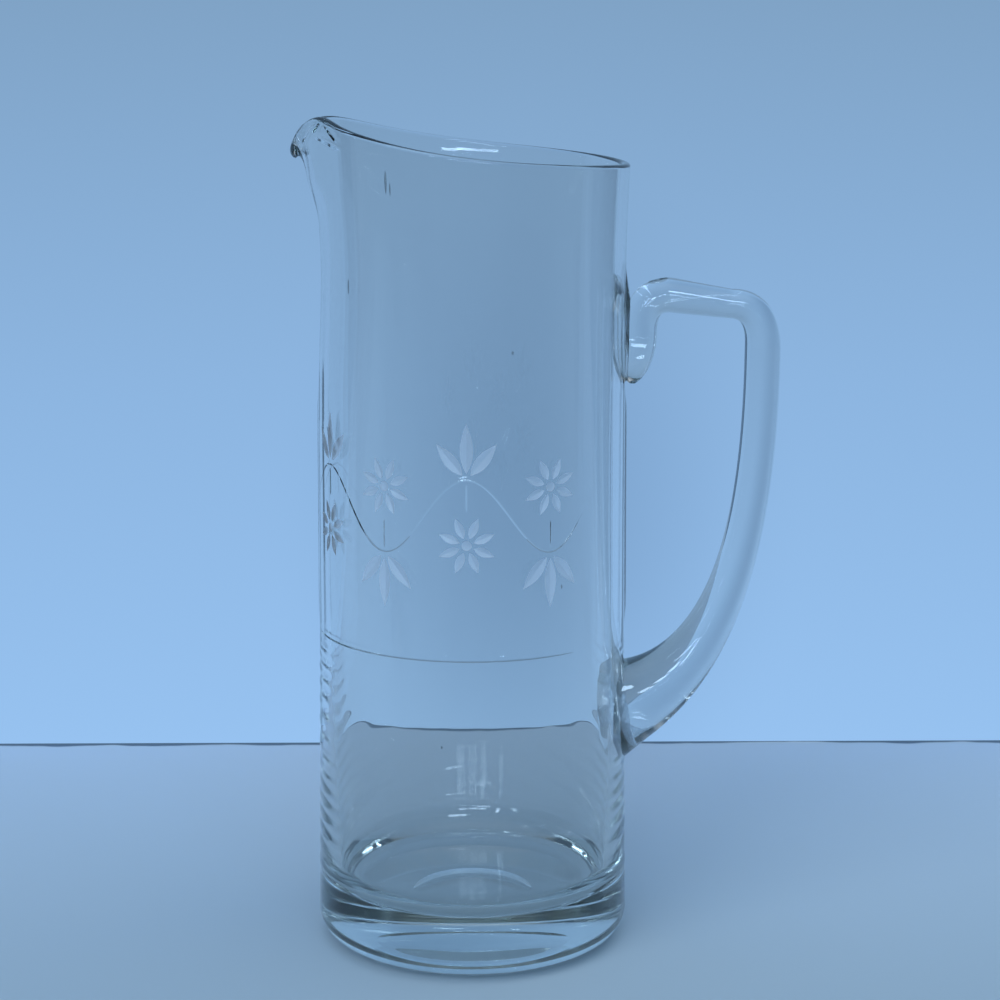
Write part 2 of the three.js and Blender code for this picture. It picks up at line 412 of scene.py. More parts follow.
def wall_frame(angle, height):
    """The wall's outward and upward directions after the tooling."""
    up = wall_middle(angle, height + NUDGE * MM) - wall_middle(angle, height - NUDGE * MM)
    along = wall_middle(angle + NUDGE, height) - wall_middle(angle - NUDGE, height)
    return along.cross(up).normalized(), up.normalized()


def tooled(point):
    """Where a point of the straight body goes, with its marks and the tooling."""
    angle = math.atan2(point.y, point.x) % (2 * math.pi)
    angle += LIP_CROWDING * math.sin(angle) - SIDE_CROWDING * math.sin(2 * angle)
    radius = math.hypot(point.x, point.y)
    if radius > middle_radius(point.z):
        radius += ripple(angle, point.z) + seam(angle, point.z)
    else:
        radius += stria(angle, point.z)
    if point.z < RIM_MIDDLE - SLANT_DEPTH:
        return Vector((radius * math.cos(angle), radius * math.sin(angle), point.z))
    height = min(point.z, RIM_MIDDLE)
    out, up = wall_frame(angle, height)
    aside = abs(angle - math.pi) * RIM_RADIUS
    swell = 1 + TIP_SWELL * bell(aside, TIP_WIDE) * ease(1 - (RIM_MIDDLE - height) / TIP_TALL)
    across, along = (radius - middle_radius(height)) * swell, (point.z - height) * swell
    return wall_middle(angle, height) + out * across + up * along


for vertex in body.data.vertices:
    vertex.co = tooled(vertex.co)
select_only(body)
bpy.ops.object.shade_smooth_by_angle(angle=SHARP_EDGE)
print("Lip tip at x =", round(min(v.co.x for v in body.data.vertices) / MM, 2), "mm")

# %% [markdown]
# ## The handle, drawn straight and then bent
# The handle is a second gather of glass. It is drawn out to a rod, its thick end is set on the wall as the
# foot, and the rod is bent over and folded down to a tail at the top. A bevelled curve would give a round
# rod, but this one is oval and swells towards the foot. So a straight rod is extruded ring by ring, and
# each ring is then carried to its place on the path, turned and sized.

# %% Path of the handle
HANDLE_TOP = 198.2 * MM
HANDLE_REACH = 41.2 * MM
HANDLE_FOOT = 73.8 * MM
FOOT_REACH = 2 * MM
FOOT_SLOPE = math.radians(24)
FOOT_BURY = 12 * MM
ARM_FALL = 2.6 * MM
BEND_OVER = 10 * MM
BEND_DOWN = 13 * MM
GRIP_LENGTH = 51 * MM
SWEEP_LENGTH = 34 * MM
TAIL_LENGTH = 26 * MM
TAIL_SEAT = 4.3 * MM
TURN_UP = 11 * MM
TURN_OUT = 8.8 * MM
foot_length = (FOOT_REACH + FOOT_BURY) / math.cos(FOOT_SLOPE)


def bezier(points, t):
    """A point of a curve with any number of control points, by repeated mixing."""
    while len(points) > 1:
        points = [a.lerp(b, t) for a, b in zip(points, points[1:])]
    return points[0]


def handle_path():
    """The control points of each stretch of the rod, from the tip of the tail to inside the wall."""
    wall = outer_radius(HANDLE_TOP)
    grip = wall + HANDLE_REACH
    arm_end = HANDLE_TOP - ARM_FALL
    into_wall = Vector((-math.cos(FOOT_SLOPE), 0, -math.sin(FOOT_SLOPE)))
    tip = Vector((wall + TAIL_SEAT / 2, 0, HANDLE_TOP - TAIL_LENGTH))
    fold = Vector((wall + TAIL_SEAT, 0, HANDLE_TOP - TURN_UP))
    arm_start = Vector((fold.x + TURN_OUT, 0, HANDLE_TOP))
    bend_start = Vector((grip - BEND_OVER, 0, arm_end))
    bend_end = Vector((grip, 0, arm_end - BEND_DOWN))
    grip_end = bend_end - Vector((0, 0, GRIP_LENGTH))
    neck = Vector((outer_radius(HANDLE_FOOT) + FOOT_REACH, 0, HANDLE_FOOT))
    return {
        "tail": [tip, Vector((fold.x, 0, (tip.z + fold.z) / 2)), fold],
        "turn": [fold, Vector((fold.x, 0, HANDLE_TOP)), arm_start],
        "arm": [arm_start, bend_start],
        "bend": [bend_start, Vector((grip, 0, arm_end)), bend_end],
        "sweep": [bend_end, grip_end, neck - into_wall * SWEEP_LENGTH, neck],
        "foot": [neck, neck + into_wall * foot_length],
    }


print("Stretches of the handle:", ", ".join(handle_path()))

# %% Thickness of the handle
# Each stretch has the section that it ends with, as half thickness in the plane of the handle and half
# width square to it, the pace at which it gets there and its number of rings.
TAIL_TIP = (0.3 * MM, 0.4 * MM)
FOLD = (5.2 * MM, 6.5 * MM)
NECK = (13.2 * MM, 11.6 * MM)
FOOT_FLARE = math.radians(16)
foot_spread = foot_length * math.tan(FOOT_FLARE)
STRETCHES = {
    "tail": (FOLD, "round", 36),
    "turn": (FOLD, 1, 16),
    "arm": ((4.4 * MM, 6.2 * MM), 1, 12),
    "bend": ((5.4 * MM, 6.5 * MM), 1, 20),
    "sweep": (NECK, 4, 80),
    "foot": ((NECK[0] + foot_spread, NECK[1] + foot_spread), 1, 12),
}


def swelling(pace, count):
    """Places along a stretch and how far the section has grown; a round end grows like an ellipse."""
    if pace == "round":
        return [(1 - math.cos(a), math.sin(a)) for a in steps(0, math.pi / 2, count)]
    return [(t, t**pace) for t in steps(0, 1, count)]


def handle_rings():
    """The middle, direction, half thickness and half width of every ring of the rod."""
    rings = []
    size = TAIL_TIP
    for name, points in handle_path().items():
        full, pace, count = STRETCHES[name]
        places = swelling(pace, count)
        if rings:
            # A stretch starts at the last ring of the one before it.
            places = places[1:]
        for t, share in places:
            ahead, behind = min(t + NUDGE, 1), max(t - NUDGE, 0)
            along = (bezier(points, ahead) - bezier(points, behind)).normalized()
            thick, wide = mix(size[0], full[0], share), mix(size[1], full[1], share)
            rings.append((bezier(points, t), along, thick, wide))
        size = full
    return rings


rings = handle_rings()
print("Rings of the handle:", len(rings))

# %% Extrude the rod and bend it
ROD_SIDES = 48


def straight_rod(rings, sides):
    """A rod of unit radius along Z, with one ring of vertices at each whole number."""
    bpy.ops.object.select_all(action="DESELECT")
    bpy.ops.mesh.primitive_circle_add(vertices=sides, radius=1, fill_type="NGON")
    bpy.ops.object.mode_set(mode="EDIT")
    bpy.ops.mesh.select_all(action="SELECT")
    for _ in range(rings - 1):
        bpy.ops.mesh.extrude_region_move(TRANSFORM_OT_translate={"value": (0, 0, 1)})
    bpy.ops.mesh.select_all(action="SELECT")
    bpy.ops.mesh.normals_make_consistent(inside=False)
    bpy.ops.object.mode_set(mode="OBJECT")
    return bpy.context.object


def bent_rod(rings):
    """A rod whose rings are carried to their places, turned and sized."""
    rod = straight_rod(len(rings), ROD_SIDES)
    for vertex in rod.data.vertices:
        middle, along, thick, wide = rings[round(vertex.co.z)]
        across = Vector((along.z, 0, -along.x))
        vertex.co = middle + across * (thick * vertex.co.x) + Vector((0, wide * vertex.co.y, 0))
    select_only(rod)
    bpy.ops.object.mode_set(mode="EDIT")
    bpy.ops.mesh.select_all(action="SELECT")
    bpy.ops.mesh.normals_make_consistent(inside=False)
    bpy.ops.object.mode_set(mode="OBJECT")
    return rod


handle = bent_rod(rings)
handle.name = handle.data.name = "handle_glass"
print("Faces of the bent rod:", len(handle.data.polygons))

# %% [markdown]
# ## The pad and the drop under the tail
# Where the soft tail is pressed on, it spreads to a thin pad on the wall, and its cut end draws up to a
# round drop. They could be pulled out of the tail by hand. It is simpler to model both as lumps that
# overlap the tail, and to let a Boolean union melt them together, as the heat does.

# %% Balls and Booleans
def ball(radius, place, segments, rings):
    """A ball whose place is in its mesh."""
    bpy.ops.object.select_all(action="DESELECT")
    bpy.ops.mesh.primitive_uv_sphere_add(segments=segments, ring_count=rings, radius=radius, location=place)
    bpy.ops.object.transform_apply(location=True, rotation=False, scale=False)
    return bpy.context.object


def carve(piece, tool, operation):
    """Joins or takes away a tool by a Boolean, and removes the tool."""
    apply_modifier(piece, "BOOLEAN", operation=operation, solver="EXACT", object=tool)
    bpy.data.objects.remove(tool)


# %% The pad and the drop
PAD_LOW = 172 * MM
PAD_HIGH = 208 * MM
PAD_ROWS = 32
PAD_WIDE = 5.6 * MM
PAD_SINK = 0.4 * MM
PAD_AT_TIP = 4.4 * MM
PAD_AT_TOP = 0.9 * MM
PAD_END = 0.02
DROP_RADIUS = 2.1 * MM
DROP_OUT = 2.3 * MM
DROP_HANG = 0.5 * MM

pad_rings = []
for share in steps(0, 1, PAD_ROWS):
    share = (1 - math.cos(math.pi * share)) / 2
    swell = max(math.sqrt(share * (1 - share)) * 2, PAD_END)
    height = mix(PAD_LOW, PAD_HIGH, share)
    middle = Vector((outer_radius(height) - PAD_SINK, 0, height))
    thick = mix(PAD_AT_TIP, PAD_AT_TOP, share) * swell
    pad_rings.append((middle, Vector((0, 0, 1)), thick, PAD_WIDE * swell))
pad = bent_rod(pad_rings)
drop_place = (outer_radius(PAD_LOW) + DROP_OUT, 0, PAD_LOW + DROP_RADIUS - DROP_HANG)
drop = ball(DROP_RADIUS, drop_place, ROD_SIDES, ROD_SIDES // 2)
for lump in (pad, drop):
    carve(handle, lump, "UNION")
print("Faces of the handle with pad and drop:", len(handle.data.polygons))

# %% [markdown]
# ## The pinch on the fold
# A tool grips the rod while it is folded over, and leaves a shallow round dent on top of the fold. Moving
# a few vertices down would leave corners, so a large ball is taken out, which leaves a clean round dent
# with a crisp edge.

# %% The pinch
PINCH_RADIUS = 8 * MM
PINCH_DEPTH = 1 * MM
PINCH_OUT = 8 * MM
PINCH_NEAR = 1.5 * MM
PINCH_SEGMENTS = 96
PINCH_RINGS = 64
FOLD_RISE = 4.6 * MM

pinch_height = HANDLE_TOP + FOLD_RISE + PINCH_RADIUS - PINCH_DEPTH
pinch_place = (outer_radius(HANDLE_TOP) + PINCH_OUT, -PINCH_NEAR, pinch_height)
carve(handle, ball(PINCH_RADIUS, pinch_place, PINCH_SEGMENTS, PINCH_RINGS), "DIFFERENCE")
print("Faces of the handle with the pinch:", len(handle.data.polygons))

# %% [markdown]
# ## The welds
# On the real pitcher the two gathers melt together where they meet, so light passes from one to the other
# without a mirror between them. A Boolean cuts the rod by the round of the wall, and leaves it a hair's
# breadth inside the wall, because an air gap there would reflect like a mirror.

# %% Weld the handle to the wall
WELD_DEPTH = 0.25 * MM
WELD_LOW = 40 * MM
WELD_HIGH = 215 * MM

plug_heights = steps(WELD_LOW, WELD_HIGH, WALL_ROWS)
plug_section = [(0, WELD_LOW)]
plug_section += [(outer_radius(h) - WELD_DEPTH, h) for h in plug_heights]
plug_section += [(0, WELD_HIGH)]
plug = draw_section(plug_section)
spin_section(plug, SEGMENTS)
carve(handle, plug, "DIFFERENCE")
select_only(handle)
bpy.ops.object.shade_smooth_by_angle(angle=SHARP_EDGE)
print("Faces of the handle:", len(handle.data.polygons))

# %% [markdown]
# ## Glass
# Soda-lime glass with a fire-polished skin is clear, smooth and bends light by about 1.52. Its faint
# grey-green comes from a little iron, and shows only where the glass is thick. A tint on the surface would
# colour thin and thick glass alike, so the colour is an absorption inside the glass. Where a stone wheel
# has cut it, the same glass is matt.

# %% Colours and nodes
def srgb(code):
    """An sRGB hex colour as linear red, green, blue and alpha."""
    parts = [int(code[i : i + 2], 16) / 255 for i in (1, 3, 5)]
    return [c / 12.92 if c <= 0.04045 else ((c + 0.055) / 1.055) ** 2.4 for c in parts] + [1]


def add_node(tree, kind, values=None, links=None, **settings):
    """Adds a node with its own settings, the values of its inputs and the outputs that feed it."""
    node = tree.nodes.new(kind)
    for name, value in settings.items():
        setattr(node, name, value)
    for socket, value in (values or {}).items():
        node.inputs[socket].default_value = value
    for socket, source in (links or {}).items():
        tree.links.new(source, node.inputs[socket])
    return node


def new_material(name):
    material = bpy.data.materials.new(name)
    material.use_nodes = True
    tree = material.node_tree
    tree.nodes.clear()
    return material, tree, tree.nodes.new("ShaderNodeOutputMaterial")


# %% Fire-polished glass
GLASS_IOR = 1.52
IRON_DENSITY = 9
CORD_PITCH = 7 * MM
CORD_STRETCH = 8
CORD_DEPTH = 0.01 * MM


def relief(tree, pitch, stretch, depth):
    """Normals of a soft random relief; the pitch is the width of a bump, stretched upwards."""
    place = add_node(tree, "ShaderNodeTexCoord")
    scale = {"Scale": (1, 1, 1 / stretch)}
    tall = add_node(tree, "ShaderNodeMapping", scale, {0: place.outputs["Object"]})
    noise = add_node(tree, "ShaderNodeTexNoise", {"Scale": 1 / pitch, "Detail": 1}, {0: tall.outputs[0]})
    bump = add_node(tree, "ShaderNodeBump", {"Distance": depth}, {"Height": noise.outputs["Fac"]})
    return bump.outputs["Normal"]


def fire_polished_glass():
    """Smooth and clear, with the faint upright cords that make a view through blown glass swim."""
    material, tree, output = new_material("soda_lime_glass_fire_polished")
    skin = {"Base Color": srgb("#f8f8f7"), "Roughness": 0.0, "IOR": GLASS_IOR, "Transmission Weight": 1}
    cords = relief(tree, CORD_PITCH, CORD_STRETCH, CORD_DEPTH)
    shader = add_node(tree, "ShaderNodeBsdfPrincipled", skin, {"Normal": cords})
    tint = {"Color": srgb("#c6d4d2"), "Density": IRON_DENSITY}
    iron = add_node(tree, "ShaderNodeVolumeAbsorption", tint)
    tree.links.new(shader.outputs["BSDF"], output.inputs["Surface"])
    tree.links.new(iron.outputs["Volume"], output.inputs["Volume"])
    return material


clear_glass = fire_polished_glass()
for piece in (body, handle):
    piece.data.materials.clear()
    piece.data.materials.append(clear_glass)
print("Glass on", body.name, "and", handle.name)

# %% Wheel-cut glass
# A real stone leaves pits of some hundredths of a millimetre. They are drawn about ten times as wide here,
# because finer ones wouldn't show at this size.
GRIT_PITCH = 0.35 * MM
GRIT_DEPTH = 0.02 * MM
GROUND_CLEARNESS = 0.92


def wheel_cut_glass():
    """Left matt by the stone: the grit scatters the light, so a cut looks pale and frosted."""
    material, tree, output = new_material("soda_lime_glass_wheel_cut")
    skin = {"Base Color": srgb("#f2f6fa"), "Roughness": 0.4, "IOR": GLASS_IOR}
    skin["Transmission Weight"] = GROUND_CLEARNESS
    grit = relief(tree, GRIT_PITCH, 1, GRIT_DEPTH)
    shader = add_node(tree, "ShaderNodeBsdfPrincipled", skin, {"Normal": grit})
    tree.links.new(shader.outputs["BSDF"], output.inputs["Surface"])
    return material


ground_glass = wheel_cut_glass()
print("Glasses:", clear_glass.name, "and", ground_glass.name)

# %% [markdown]
# ## The wheel-cut ornament
# An engraver holds the cold pitcher against small spinning stone wheels. One touch leaves a boat-shaped
# cut with a V-shaped bottom, and a long stroke leaves a thin line. The pattern is a common flowering
# scroll: a wavy stem, a flower in each bend, leaves outside it, and a plain line below. Painting it on
# would leave the glass smooth, so each cut is real. One four-sided spindle is modelled, copied to every
# petal and leaf on a flat sheet, and wrapped round the wall.

# %% Wrap a flat design round the wall
DESIGN_RADIUS = 46 * MM
CUT_LIFT = 0.03 * MM
FRONT = 1.5 * math.pi


def on_wall(along, up, out):
    """A point of the flat design on the wall: metres to the right of the front, up and outwards."""
    angle = FRONT + along / DESIGN_RADIUS
    radius = outer_radius(up) + CUT_LIFT + out
    return Vector((radius * math.cos(angle), radius * math.sin(angle), up))


# %% One touch of the wheel
SPINDLE_STEPS = 16
SPINDLE_SIDES = 4
SPINDLE_LEAN = 0.22
spindle_places = steps(-1, 1, SPINDLE_STEPS)
spindle_outline = [((1 - s * s) * (1 - SPINDLE_LEAN * s) / 2, s / 2) for s in spindle_places]
spindle = draw_section(spindle_outline)
spin_section(spindle, SPINDLE_SIDES)
spindle.data.materials.append(ground_glass)
print("Faces of the spindle:", len(spindle.data.polygons))


def copy_of(piece):
    """A copy with its own mesh."""
    twin = piece.copy()
    twin.data = piece.data.copy()
    bpy.context.collection.objects.link(twin)
    return twin


def touch(start, turn, length, width, depth):
    """A copy of the spindle, laid from a point of the design in a direction and wrapped on the wall."""
    cut = copy_of(spindle)
    c, s = math.cos(turn), math.sin(turn)
    for vertex in cut.data.vertices:
        ahead, aside = (vertex.co.z + 0.5) * length, vertex.co.x * width
        along, up = start[0] + ahead * c - aside * s, start[1] + ahead * s + aside * c
        vertex.co = on_wall(along, up, vertex.co.y * 2 * depth)
    return cut


# %% One stroke of the wheel
STROKE_SIDES = 4
STROKE_TAPER = 8
STROKE_LIFT = 0.9


def stroke(points, width, depth, place=on_wall):
    """A thin V-shaped line through points of the design, tapered where the wheel lifts."""
    last = len(points) - 1
    cut = straight_rod(last + 1, STROKE_SIDES)
    cut.data.materials.append(clear_glass)
    for vertex in cut.data.vertices:
        i = round(vertex.co.z)
        ahead, behind = points[min(i + 1, last)], points[max(i - 1, 0)]
        lean = math.atan2(ahead[1] - behind[1], ahead[0] - behind[0])
        press = 1 - abs(2 * i / last - 1) ** STROKE_TAPER * STROKE_LIFT
        aside = vertex.co.x * width / 2 * press
        along, up = points[i][0] - aside * math.sin(lean), points[i][1] + aside * math.cos(lean)
        vertex.co = place(along, up, vertex.co.y * depth * press)
    return cut


# %% One dimple
DIMPLE_SEGMENTS = 16
DIMPLE_RINGS = 8
whole_dimple = ball(1, (0, 0, 0), DIMPLE_SEGMENTS, DIMPLE_RINGS)
whole_dimple.data.materials.append(ground_glass)
print("Faces of the dimple:", len(whole_dimple.data.polygons))


def rounded_cut(whole, middle, half_wide, half_tall, depth, sink):
    """A copy of a ball, pressed to an oval on the wall, or under its skin where it sinks."""
    cut = copy_of(whole)
    for vertex in cut.data.vertices:
        x, y, z = vertex.co
        vertex.co = on_wall(middle[0] + x * half_wide, middle[1] + y * half_tall, z * depth - sink)
    return cut


# %% Sizes of the scroll
SCROLL_START = -64 * MM
SCROLL_END = 36 * MM
SCROLL_WAVES = 2
SCROLL_MIDDLE = 140 * MM
SCROLL_SWING = 11 * MM
LINE_HEIGHT = 98 * MM
LINE_START = -66 * MM
LINE_END = 33 * MM
STEM_POINTS = 96
STALK_POINTS = 12
STALK_GAP = 1 * MM
FLOWER_DROP = 19 * MM
HEART_SHARE = 0.7
HEART_DEPTH = 0.3 * MM
PETALS = 8
PETAL_HOLE = 2.1 * MM
PETAL_LENGTH = 6.6 * MM
PETAL_WIDTH = 2.7 * MM
LEAF_LENGTH = 15 * MM
LEAF_WIDTH = 4 * MM
LEAF_GAP = 1.6 * MM
LEAF_FAN = math.radians(40)
SIDE_LEAF_SHARE = 0.8
CUT_DEPTH = 0.5 * MM
LINE_WIDTH = 0.7 * MM
LINE_DEPTH = 0.25 * MM

scroll_length = SCROLL_END - SCROLL_START
bends = 2 * SCROLL_WAVES
print("Length of the scroll, mm:", round(scroll_length / MM), "bends:", bends)

# %% Lay out the scroll
touches, strokes, dimples = [], [], []


def stem_height(along):
    turns = SCROLL_WAVES * (along - SCROLL_START) / scroll_length
    return SCROLL_MIDDLE + SCROLL_SWING * math.sin(2 * math.pi * turns)


stem = [(along, stem_height(along)) for along in steps(SCROLL_START, SCROLL_END, STEM_POINTS)]
line = [(along, LINE_HEIGHT) for along in steps(LINE_START, LINE_END, STEM_POINTS)]
for points in (stem, line):
    strokes.append(stroke(points, LINE_WIDTH, LINE_DEPTH))
for bend in range(bends):
    side = 1 if bend % 2 == 0 else -1
    top = SCROLL_START + (bend + 0.5) * scroll_length / bends
    crest = stem_height(top)
    heart = (top, crest - side * FLOWER_DROP)
    stalk_end = crest - side * (FLOWER_DROP - PETAL_HOLE - PETAL_LENGTH - STALK_GAP)
    stalk = [(top, up) for up in steps(crest - side * STALK_GAP, stalk_end, STALK_POINTS)]
    strokes.append(stroke(stalk, LINE_WIDTH, LINE_DEPTH))
    half = PETAL_HOLE * HEART_SHARE
    dimples.append(rounded_cut(whole_dimple, heart, half, half, HEART_DEPTH, 0))
    for turn in steps(0, 2 * math.pi, PETALS)[:-1]:
        turn += math.pi / PETALS
        start = (heart[0] + PETAL_HOLE * math.cos(turn), heart[1] + PETAL_HOLE * math.sin(turn))
        touches.append(touch(start, turn, PETAL_LENGTH, PETAL_WIDTH, CUT_DEPTH))
    for fan in (-1, 0, 1):
        turn = side * math.pi / 2 + fan * LEAF_FAN
        start = (top + LEAF_GAP * math.cos(turn), crest + LEAF_GAP * math.sin(turn))
        length = LEAF_LENGTH if fan == 0 else SIDE_LEAF_SHARE * LEAF_LENGTH
        touches.append(touch(start, turn, length, LEAF_WIDTH, CUT_DEPTH))
for used in (spindle, whole_dimple):
    bpy.data.objects.remove(used)
print("Touches:", len(touches), "strokes:", len(strokes), "dimples:", len(dimples))

# %% [markdown]
# ## Creases at the shoulder of the lip
# When the lip is pulled over, the skin of the glass wrinkles at the near shoulder into a small fan of
# creases. Displacing the mesh there would need far more vertices. A crease has the form of a wheel stroke,
# so the same function makes it, laid on the tooled shoulder instead of on the round wall, and left clear.

# %% Creases
# Each crease runs from one point to another, in millimetres from the middle of the lip and up from the rim.
CREASES = (
    ((17.5, -0.3), (6, -4.6)),
    ((19.8, -0.3), (14.5, -3.6)),
    ((22.1, -0.5), (29, -3.2)),
    ((15.5, -5.2), (31, -4.8)),
)
CREASE_WIDTH = 1.4 * MM
CREASE_DEPTH = 0.3 * MM
CREASE_POINTS = 24


def on_shoulder(along, up, out):
    """A point of the lip's near shoulder: from the lip's middle, up from the rim and outwards."""
    angle = math.pi + along / RIM_RADIUS
    height = RIM_MIDDLE + up
    face, _ = wall_frame(angle, height)
    return wall_middle(angle, height) + face * (wall_thickness(height) / 2 + CUT_LIFT + out)


creases = []
for (along, up), (far_along, far_up) in CREASES:
    shares = steps(0, 1, CREASE_POINTS)
    points = [(mix(along, far_along, s) * MM, mix(up, far_up, s) * MM) for s in shares]
    creases.append(stroke(points, CREASE_WIDTH, CREASE_DEPTH, on_shoulder))
print("Creases:", len(creases))

# %% [markdown]
# ## A few seeds
# Seeds are small bubbles of air in the glass, drawn out upwards while it was blown. A dark speck painted on
# would look the same from every side. A hollow in the middle of the wall bends the light as a bubble does,
# so each seed is a slim ball, taken out of the glass with the other cuts.

# %% Seeds
# Each seed has its place on the wall, to the right and up, its half width and its half height.
SEEDS = (
    (-25.3 * MM, 234.5 * MM, 0.3 * MM, 3.2 * MM),
    (-23.9 * MM, 232.5 * MM, 0.2 * MM, 1.8 * MM),
    (-41.2 * MM, 204 * MM, 0.25 * MM, 2.2 * MM),
    (12 * MM, 187 * MM, 0.3 * MM, 0.5 * MM),
    (-9 * MM, 72 * MM, 0.25 * MM, 0.4 * MM),
    (28 * MM, 118 * MM, 0.25 * MM, 0.6 * MM),
)
SEED_BELOW = 1.5 * MM
SEED_SEGMENTS = 16
SEED_RINGS = 12

whole_seed = ball(1, (0, 0, 0), SEED_SEGMENTS, SEED_RINGS)
whole_seed.data.materials.append(clear_glass)
seeds = []
for along, up, wide, tall in SEEDS:
    seeds.append(rounded_cut(whole_seed, (along, up), wide, tall, wide, SEED_BELOW))
bpy.data.objects.remove(whole_seed)
print("Seeds:", len(seeds))

# %% [markdown]
# ## Cut the glass
# All cuts of one kind are joined, and a Boolean takes them out of the body at once. It carries the finish
# of the tool over to the new faces, so the ground cuts come out matt and the rest clear. New edges would
# bend the smooth shading of the wall beside them. Each edge of a ground cut is therefore marked sharp, and
# the wall gets the normals that a round wall has.

# %% Take out the cuts
for cuts in (touches, strokes, dimples, creases, seeds):
    select_only(*cuts)
    bpy.ops.object.join()
    cutter = bpy.context.object
    settings = {"operation": "DIFFERENCE", "solver": "EXACT", "material_mode": "TRANSFER"}
    apply_modifier(body, "BOOLEAN", object=cutter, **settings)
    bpy.data.objects.remove(cutter)
    print("Faces of the body:", len(body.data.polygons))

# %% Crisp edges round the cuts
SKIN = 0.05 * MM
SCROLL_ABOVE = 45 * MM


def round_normal(point):
    """The outward direction of the round wall at a point of its skin."""
    rise = NUDGE * MM
    slope = (outer_radius(point.z + rise) - outer_radius(point.z - rise)) / (2 * rise)
    radius = math.hypot(point.x, point.y)
    return Vector((point.x / radius, point.y / radius, -slope)).normalized()


def finish_cuts():
    """Every edge of a cut is sharp, and the wall beside it keeps the smooth normals of a round wall."""
    mesh = body.data
    select_only(body)
    bpy.ops.object.shade_smooth_by_angle(angle=SHARP_EDGE)
    ground = mesh.materials.find(ground_glass.name)
    finish = {}
    for face in mesh.polygons:
        for edge in face.edge_keys:
            finish.setdefault(edge, set()).add(face.material_index)
    for edge in mesh.edges:
        if len(finish.get(edge.key, ())) > 1:
            edge.use_edge_sharp = True
    low, high = RIPPLE_TOP, SCROLL_MIDDLE + SCROLL_ABOVE
    # A vector of zeros keeps the normal that Blender works out.
    normals = [Vector()] * len(mesh.loops)
    for face in mesh.polygons:
        corners = [mesh.vertices[i].co for i in face.vertices]
        on_skin = all(abs(math.hypot(c.x, c.y) - outer_radius(c.z)) < SKIN for c in corners)
        if face.material_index == ground or not on_skin or not low < face.center.z < high:
            continue
        for loop in face.loop_indices:
            normals[loop] = round_normal(mesh.vertices[mesh.loops[loop].vertex_index].co)
    mesh.normals_split_custom_set(normals)


finish_cuts()
print("Ground faces:", sum(1 for face in body.data.polygons if face.material_index > 0))

# %% [markdown]
# ## Stage
# Clear glass shows little but its surroundings, so the stage matters as much as the shader. A pale blue
# floor and a wall close behind the pitcher are what one sees through it. The wall fades towards the top,
# and a soft shade lies where the pitcher stands in front of it. A lamp would have to be hidden to get
# that, so the wall shows its own colour to the camera and to rays through the glass, and is plain paint to
# all other light.

# %% Colours that fade
def fade_between(tree, source, low, high, codes, interpolation="LINEAR"):
    """Colours that follow a value from low to high, spread evenly over that range."""
    limits = {1: low, 2: high}
    share = add_node(tree, "ShaderNodeMapRange", limits, {0: source}, interpolation_type=interpolation)
    ramp = add_node(tree, "ShaderNodeValToRGB", links={0: share.outputs[0]})
    stops = ramp.color_ramp.elements
    while len(stops) < len(codes):
        stops.new(len(stops) / len(codes))
    for i, code in enumerate(codes):
        stops[i].position = i / (len(codes) - 1)
        stops[i].color = srgb(code)
    return ramp.outputs["Color"]


# %% Paint of the floor
# Lamps light the floor, so the pitcher's shadow falls on it. The shadow of clear glass comes out too dark
# that way, so a part of the floor's own colour is mixed in, less for the camera than for rays that come
# through the glass. The floor's colour darkens towards the viewer as painted shade, and a thin ragged
# line of painted shade lies along the foot of the wall, which stands a little above the floor.
WALL_BEHIND = 196 * MM
FLOOR_FADE = 1.4
FLOOR_SHARE = 0.75
CAMERA_SHARE = 0.4
FLOOR_GLOW = 0.7
# A thin ragged line of painted shade along the foot of the wall, where the floor meets it.
GAP_SHADE_WIDTH = 1.5 * MM
GAP_SHADE_WAVE = 10 * MM
GAP_SHADE_PITCH = 30 * MM
GAP_SHADE_START = 0.4
# Both ramps run from the front up to the wall, and their darker front end is painted shade.
FLOOR_PAINT = ("#4a5b69", "#566979", "#6a7f90", "#7f95a6", "#9ab2c8")
FLOOR_OWN = ("#4a657a", "#55758d", "#6588a2", "#7398b4", "#8eb2d6")


